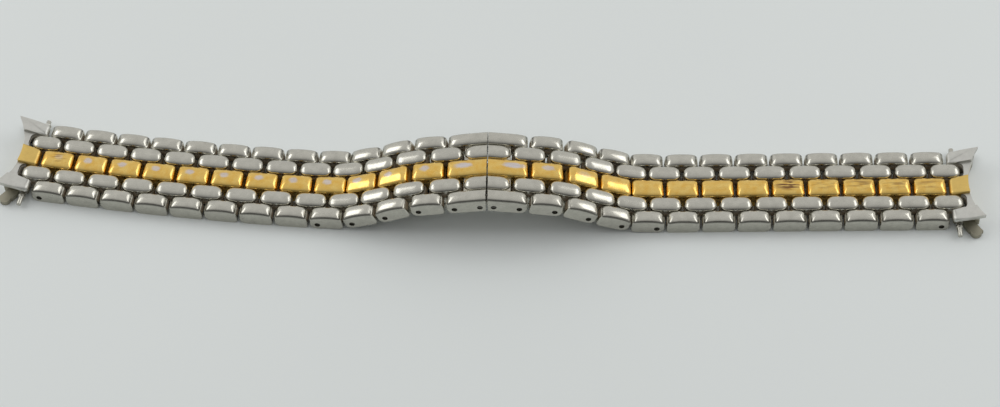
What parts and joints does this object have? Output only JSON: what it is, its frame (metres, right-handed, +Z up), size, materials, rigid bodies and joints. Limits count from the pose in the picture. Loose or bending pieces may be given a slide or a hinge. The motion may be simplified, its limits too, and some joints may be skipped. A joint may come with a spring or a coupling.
{
  "type": "brick-link metal watch strap",
  "caption": "Five-row brick-link metal watch strap in steel with a gold centre row, a hidden double folding clasp, curved case end links and spring bars, shown lying closed.",
  "frame": {"origin": "on the table, under the middle of the strap's outline, a little in front of the clasp's joint line", "axes": "+X along the right half of the strap, +Y across it to the back, +Z up from the table"},
  "size_m": [0.161, 0.026, 0.0095],
  "materials": {
    "link_steel": "polished, two-tone with a gold centre piece",
    "brick_steel": "polished",
    "end_steel": "satin, with a gold centre block",
    "clasp_steel": "brushed",
    "bar_steel": "turned"
  },
  "bodies": {
    "bridge": {"bridge": "clasp_steel"},
    "right_blade": {"right_blade": "clasp_steel"},
    "right_terminal": {"right_terminal": "link_steel"},
    "right_inner_01": {"right_inner_01": "brick_steel"},
    "right_outer_01": {"right_outer_01": "link_steel"},
    "right_inner_02": {"right_inner_02": "brick_steel"},
    "right_outer_02": {"right_outer_02": "link_steel"},
    "right_inner_03": {"right_inner_03": "brick_steel"},
    "right_outer_03": {"right_outer_03": "link_steel"},
    "right_inner_04": {"right_inner_04": "brick_steel"},
    "right_outer_04": {"right_outer_04": "link_steel"},
    "right_inner_05": {"right_inner_05": "brick_steel"},
    "right_outer_05": {"right_outer_05": "link_steel"},
    "right_inner_06": {"right_inner_06": "brick_steel"},
    "right_outer_06": {"right_outer_06": "link_steel"},
    "right_inner_07": {"right_inner_07": "brick_steel"},
    "right_outer_07": {"right_outer_07": "link_steel"},
    "right_inner_08": {"right_inner_08": "brick_steel"},
    "right_outer_08": {"right_outer_08": "link_steel"},
    "right_inner_09": {"right_inner_09": "brick_steel"},
    "right_outer_09": {"right_outer_09": "link_steel"},
    "right_inner_10": {"right_inner_10": "brick_steel"},
    "right_outer_10": {"right_outer_10": "link_steel"},
    "right_inner_11": {"right_inner_11": "brick_steel"},
    "right_outer_11": {"right_outer_11": "link_steel"},
    "right_inner_12": {"right_inner_12": "brick_steel"},
    "right_outer_12": {"right_outer_12": "link_steel"},
    "right_inner_13": {"right_inner_13": "brick_steel"},
    "right_end": {"right_end_link": "end_steel", "right_spring_bar": "bar_steel"},
    "left_blade": {"left_blade": "clasp_steel"},
    "left_terminal": {"left_terminal": "link_steel"},
    "left_inner_01": {"left_inner_01": "brick_steel"},
    "left_outer_01": {"left_outer_01": "link_steel"},
    "left_inner_02": {"left_inner_02": "brick_steel"},
    "left_outer_02": {"left_outer_02": "link_steel"},
    "left_inner_03": {"left_inner_03": "brick_steel"},
    "left_outer_03": {"left_outer_03": "link_steel"},
    "left_inner_04": {"left_inner_04": "brick_steel"},
    "left_outer_04": {"left_outer_04": "link_steel"},
    "left_inner_05": {"left_inner_05": "brick_steel"},
    "left_outer_05": {"left_outer_05": "link_steel"},
    "left_inner_06": {"left_inner_06": "brick_steel"},
    "left_outer_06": {"left_outer_06": "link_steel"},
    "left_inner_07": {"left_inner_07": "brick_steel"},
    "left_outer_07": {"left_outer_07": "link_steel"},
    "left_inner_08": {"left_inner_08": "brick_steel"},
    "left_outer_08": {"left_outer_08": "link_steel"},
    "left_inner_09": {"left_inner_09": "brick_steel"},
    "left_outer_09": {"left_outer_09": "link_steel"},
    "left_inner_10": {"left_inner_10": "brick_steel"},
    "left_outer_10": {"left_outer_10": "link_steel"},
    "left_inner_11": {"left_inner_11": "brick_steel"},
    "left_outer_11": {"left_outer_11": "link_steel"},
    "left_inner_12": {"left_inner_12": "brick_steel"},
    "left_outer_12": {"left_outer_12": "link_steel"},
    "left_inner_13": {"left_inner_13": "brick_steel"},
    "left_end": {"left_end_link": "end_steel", "left_spring_bar": "bar_steel"}
  },
  "joints": [
    {"name": "right_blade_hinge", "type": "hinge", "parent": "bridge", "child": "right_blade", "pos_m": [0.01755, -0.00419, 0.00125], "axis": [0.0087, 1, 0], "range_deg": [0, 150]},
    {"name": "right_terminal_hinge", "type": "hinge", "parent": "right_blade", "child": "right_terminal", "pos_m": [0.00139, -0.00404, 0.00714], "axis": [0, 1, 0], "range_deg": [-150, 0]},
    {"name": "right_hinge_01", "type": "hinge", "parent": "right_terminal", "child": "right_inner_01", "pos_m": [0.00552, -0.00404, 0.00657], "axis": [0, 1, 0], "range_deg": [-8.65, 0]},
    {"name": "right_hinge_02", "type": "hinge", "parent": "right_inner_01", "child": "right_outer_01", "pos_m": [0.00836, -0.00404, 0.00615], "axis": [0, 1, 0], "range_deg": [-8.65, 0]},
    {"name": "right_hinge_03", "type": "hinge", "parent": "right_outer_01", "child": "right_inner_02", "pos_m": [0.0112, -0.00404, 0.00571], "axis": [0, 1, 0], "range_deg": [-15.3, 0]},
    {"name": "right_hinge_04", "type": "hinge", "parent": "right_inner_02", "child": "right_outer_02", "pos_m": [0.01396, -0.00404, 0.00491], "axis": [0, 1, 0], "range_deg": [-15.3, 0]},
    {"name": "right_hinge_05", "type": "hinge", "parent": "right_outer_02", "child": "right_inner_03", "pos_m": [0.0166, -0.00404, 0.00377], "axis": [0, 1, 0], "range_deg": [-6.25, 0]},
    {"name": "right_hinge_06", "type": "hinge", "parent": "right_inner_03", "child": "right_outer_03", "pos_m": [0.01928, -0.00404, 0.00272], "axis": [0, 1, 0], "range_deg": [-6.25, 13.85]},
    {"name": "right_hinge_07", "type": "hinge", "parent": "right_outer_03", "child": "right_inner_04", "pos_m": [0.02199, -0.00404, 0.00176], "axis": [0, 1, 0], "range_deg": [-0.05, 20.05]},
    {"name": "right_hinge_08", "type": "hinge", "parent": "right_inner_04", "child": "right_outer_04", "pos_m": [0.02481, -0.00404, 0.00118], "axis": [0, 1, 0], "range_deg": [-0.05, 20.05]},
    {"name": "right_hinge_09", "type": "hinge", "parent": "right_outer_04", "child": "right_inner_05", "pos_m": [0.02767, -0.00404, 0.00101], "axis": [0, 1, 0], "range_deg": [-6.35, 13.75]},
    {"name": "right_hinge_10", "type": "hinge", "parent": "right_inner_05", "child": "right_outer_05", "pos_m": [0.03055, -0.00404, 0.00092], "axis": [0, 1, 0], "range_deg": [-6.35, 13.75]},
    {"name": "right_hinge_11", "type": "hinge", "parent": "right_outer_05", "child": "right_inner_06", "pos_m": [0.03342, -0.00404, 0.00092], "axis": [0, 1, 0], "range_deg": [-8.1, 12]},
    {"name": "right_hinge_12", "type": "hinge", "parent": "right_inner_06", "child": "right_outer_06", "pos_m": [0.0363, -0.00404, 0.00092], "axis": [0, 1, 0], "range_deg": [-8.1, 12]},
    {"name": "right_hinge_13", "type": "hinge", "parent": "right_outer_06", "child": "right_inner_07", "pos_m": [0.03917, -0.00404, 0.00092], "axis": [0, 1, 0], "range_deg": [-8.1, 12]},
    {"name": "right_hinge_14", "type": "hinge", "parent": "right_inner_07", "child": "right_outer_07", "pos_m": [0.04205, -0.00404, 0.00092], "axis": [0, 1, 0], "range_deg": [-8.1, 12]},
    {"name": "right_hinge_15", "type": "hinge", "parent": "right_outer_07", "child": "right_inner_08", "pos_m": [0.04492, -0.00404, 0.00092], "axis": [0, 1, 0], "range_deg": [-8.1, 12]},
    {"name": "right_hinge_16", "type": "hinge", "parent": "right_inner_08", "child": "right_outer_08", "pos_m": [0.0478, -0.00404, 0.00092], "axis": [0, 1, 0], "range_deg": [-8.1, 12]},
    {"name": "right_hinge_17", "type": "hinge", "parent": "right_outer_08", "child": "right_inner_09", "pos_m": [0.05067, -0.00404, 0.00092], "axis": [0, 1, 0], "range_deg": [-8.1, 12]},
    {"name": "right_hinge_18", "type": "hinge", "parent": "right_inner_09", "child": "right_outer_09", "pos_m": [0.05355, -0.00404, 0.00092], "axis": [0, 1, 0], "range_deg": [-8.1, 12]},
    {"name": "right_hinge_19", "type": "hinge", "parent": "right_outer_09", "child": "right_inner_10", "pos_m": [0.05642, -0.00404, 0.00092], "axis": [0, 1, 0], "range_deg": [-8.1, 12]},
    {"name": "right_hinge_20", "type": "hinge", "parent": "right_inner_10", "child": "right_outer_10", "pos_m": [0.0593, -0.00404, 0.00092], "axis": [0, 1, 0], "range_deg": [-8.1, 12]},
    {"name": "right_hinge_21", "type": "hinge", "parent": "right_outer_10", "child": "right_inner_11", "pos_m": [0.06217, -0.00404, 0.00092], "axis": [0, 1, 0], "range_deg": [-8.1, 12]},
    {"name": "right_hinge_22", "type": "hinge", "parent": "right_inner_11", "child": "right_outer_11", "pos_m": [0.06505, -0.00404, 0.00092], "axis": [0, 1, 0], "range_deg": [-8.1, 12]},
    {"name": "right_hinge_23", "type": "hinge", "parent": "right_outer_11", "child": "right_inner_12", "pos_m": [0.06792, -0.00404, 0.00092], "axis": [0, 1, 0], "range_deg": [-8.1, 12]},
    {"name": "right_hinge_24", "type": "hinge", "parent": "right_inner_12", "child": "right_outer_12", "pos_m": [0.0708, -0.00404, 0.00092], "axis": [0, 1, 0], "range_deg": [-8.1, 12]},
    {"name": "right_hinge_25", "type": "hinge", "parent": "right_outer_12", "child": "right_inner_13", "pos_m": [0.07367, -0.00404, 0.00092], "axis": [0, 1, 0], "range_deg": [-8.1, 12]},
    {"name": "right_hinge_26", "type": "hinge", "parent": "right_inner_13", "child": "right_end", "pos_m": [0.07655, -0.00404, 0.00092], "axis": [0, 1, 0], "range_deg": [-8.1, 12]},
    {"name": "left_blade_hinge", "type": "hinge", "parent": "bridge", "child": "left_blade", "pos_m": [-0.01685, -0.00389, 0.00125], "axis": [-0.0087, -1, 0], "range_deg": [0, 150]},
    {"name": "left_terminal_hinge", "type": "hinge", "parent": "left_blade", "child": "left_terminal", "pos_m": [-0.00069, -0.00403, 0.00714], "axis": [-0.0175, -0.9998, 0], "range_deg": [-150, 0]},
    {"name": "left_hinge_01", "type": "hinge", "parent": "left_terminal", "child": "left_inner_01", "pos_m": [-0.00481, -0.00395, 0.00657], "axis": [0.0175, 0.9998, 0], "range_deg": [0, 8.65]},
    {"name": "left_hinge_02", "type": "hinge", "parent": "left_inner_01", "child": "left_outer_01", "pos_m": [-0.00765, -0.00387, 0.00615], "axis": [0.0384, 0.9993, 0], "range_deg": [0, 8.65]},
    {"name": "left_hinge_03", "type": "hinge", "parent": "left_outer_01", "child": "left_inner_02", "pos_m": [-0.01049, -0.00376, 0.00571], "axis": [0.0384, 0.9993, 0], "range_deg": [0, 15.3]},
    {"name": "left_hinge_04", "type": "hinge", "parent": "left_inner_02", "child": "left_outer_02", "pos_m": [-0.01325, -0.00363, 0.00491], "axis": [0.0593, 0.9982, 0], "range_deg": [0, 15.3]},
    {"name": "left_hinge_05", "type": "hinge", "parent": "left_outer_02", "child": "left_inner_03", "pos_m": [-0.01589, -0.00347, 0.00377], "axis": [0.0593, 0.9982, 0], "range_deg": [0, 6.25]},
    {"name": "left_hinge_06", "type": "hinge", "parent": "left_inner_03", "child": "left_outer_03", "pos_m": [-0.01856, -0.00329, 0.00272], "axis": [0.0752, 0.9972, 0], "range_deg": [-13.85, 6.25]},
    {"name": "left_hinge_07", "type": "hinge", "parent": "left_outer_03", "child": "left_inner_04", "pos_m": [-0.02126, -0.00308, 0.00176], "axis": [0.0752, 0.9972, 0], "range_deg": [-20.05, 0.05]},
    {"name": "left_hinge_08", "type": "hinge", "parent": "left_inner_04", "child": "left_outer_04", "pos_m": [-0.02407, -0.00286, 0.00118], "axis": [0.0859, 0.9963, 0], "range_deg": [-20.05, 0.05]},
    {"name": "left_hinge_09", "type": "hinge", "parent": "left_outer_04", "child": "left_inner_05", "pos_m": [-0.02692, -0.00261, 0.00101], "axis": [0.0859, 0.9963, 0], "range_deg": [-13.75, 6.35]},
    {"name": "left_hinge_10", "type": "hinge", "parent": "left_inner_05", "child": "left_outer_05", "pos_m": [-0.02979, -0.00235, 0.00092], "axis": [0.0967, 0.9953, 0], "range_deg": [-13.75, 6.35]},
    {"name": "left_hinge_11", "type": "hinge", "parent": "left_outer_05", "child": "left_inner_06", "pos_m": [-0.03265, -0.00207, 0.00092], "axis": [0.0967, 0.9953, 0], "range_deg": [-12, 8.1]},
    {"name": "left_hinge_12", "type": "hinge", "parent": "left_inner_06", "child": "left_outer_06", "pos_m": [-0.03551, -0.00178, 0.00092], "axis": [0.1075, 0.9942, 0], "range_deg": [-12, 8.1]},
    {"name": "left_hinge_13", "type": "hinge", "parent": "left_outer_06", "child": "left_inner_07", "pos_m": [-0.03837, -0.00147, 0.00092], "axis": [0.1075, 0.9942, 0], "range_deg": [-12, 8.1]},
    {"name": "left_hinge_14", "type": "hinge", "parent": "left_inner_07", "child": "left_outer_07", "pos_m": [-0.04122, -0.00114, 0.00092], "axis": [0.1182, 0.993, 0], "range_deg": [-12, 8.1]},
    {"name": "left_hinge_15", "type": "hinge", "parent": "left_outer_07", "child": "left_inner_08", "pos_m": [-0.04408, -0.0008, 0.00092], "axis": [0.1182, 0.993, 0], "range_deg": [-12, 8.1]},
    {"name": "left_hinge_16", "type": "hinge", "parent": "left_inner_08", "child": "left_outer_08", "pos_m": [-0.04693, -0.00045, 0.00092], "axis": [0.129, 0.9916, 0], "range_deg": [-12, 8.1]},
    {"name": "left_hinge_17", "type": "hinge", "parent": "left_outer_08", "child": "left_inner_09", "pos_m": [-0.04978, -0.00008, 0.00092], "axis": [0.129, 0.9916, 0], "range_deg": [-12, 8.1]},
    {"name": "left_hinge_18", "type": "hinge", "parent": "left_inner_09", "child": "left_outer_09", "pos_m": [-0.05263, 0.00031, 0.00092], "axis": [0.1397, 0.9902, 0], "range_deg": [-12, 8.1]},
    {"name": "left_hinge_19", "type": "hinge", "parent": "left_outer_09", "child": "left_inner_10", "pos_m": [-0.05548, 0.00071, 0.00092], "axis": [0.1397, 0.9902, 0], "range_deg": [-12, 8.1]},
    {"name": "left_hinge_20", "type": "hinge", "parent": "left_inner_10", "child": "left_outer_10", "pos_m": [-0.05832, 0.00113, 0.00092], "axis": [0.1504, 0.9886, 0], "range_deg": [-12, 8.1]},
    {"name": "left_hinge_21", "type": "hinge", "parent": "left_outer_10", "child": "left_inner_11", "pos_m": [-0.06116, 0.00156, 0.00092], "axis": [0.1504, 0.9886, 0], "range_deg": [-12, 8.1]},
    {"name": "left_hinge_22", "type": "hinge", "parent": "left_inner_11", "child": "left_outer_11", "pos_m": [-0.064, 0.00201, 0.00092], "axis": [0.1611, 0.9869, 0], "range_deg": [-12, 8.1]},
    {"name": "left_hinge_23", "type": "hinge", "parent": "left_outer_11", "child": "left_inner_12", "pos_m": [-0.06684, 0.00247, 0.00092], "axis": [0.1611, 0.9869, 0], "range_deg": [-12, 8.1]},
    {"name": "left_hinge_24", "type": "hinge", "parent": "left_inner_12", "child": "left_outer_12", "pos_m": [-0.06968, 0.00295, 0.00092], "axis": [0.1718, 0.9851, 0], "range_deg": [-12, 8.1]},
    {"name": "left_hinge_25", "type": "hinge", "parent": "left_outer_12", "child": "left_inner_13", "pos_m": [-0.07251, 0.00344, 0.00092], "axis": [0.1718, 0.9851, 0], "range_deg": [-12, 8.1]},
    {"name": "left_hinge_26", "type": "hinge", "parent": "left_inner_13", "child": "left_end", "pos_m": [-0.07534, 0.00395, 0.00092], "axis": [0.1824, 0.9832, 0], "range_deg": [-12, 8.1]}
  ],
  "couplings": [
    {"joint": "right_blade_hinge", "follows": "right_terminal_hinge", "ratio": -1},
    {"joint": "left_blade_hinge", "follows": "left_terminal_hinge", "ratio": -1}
  ]
}
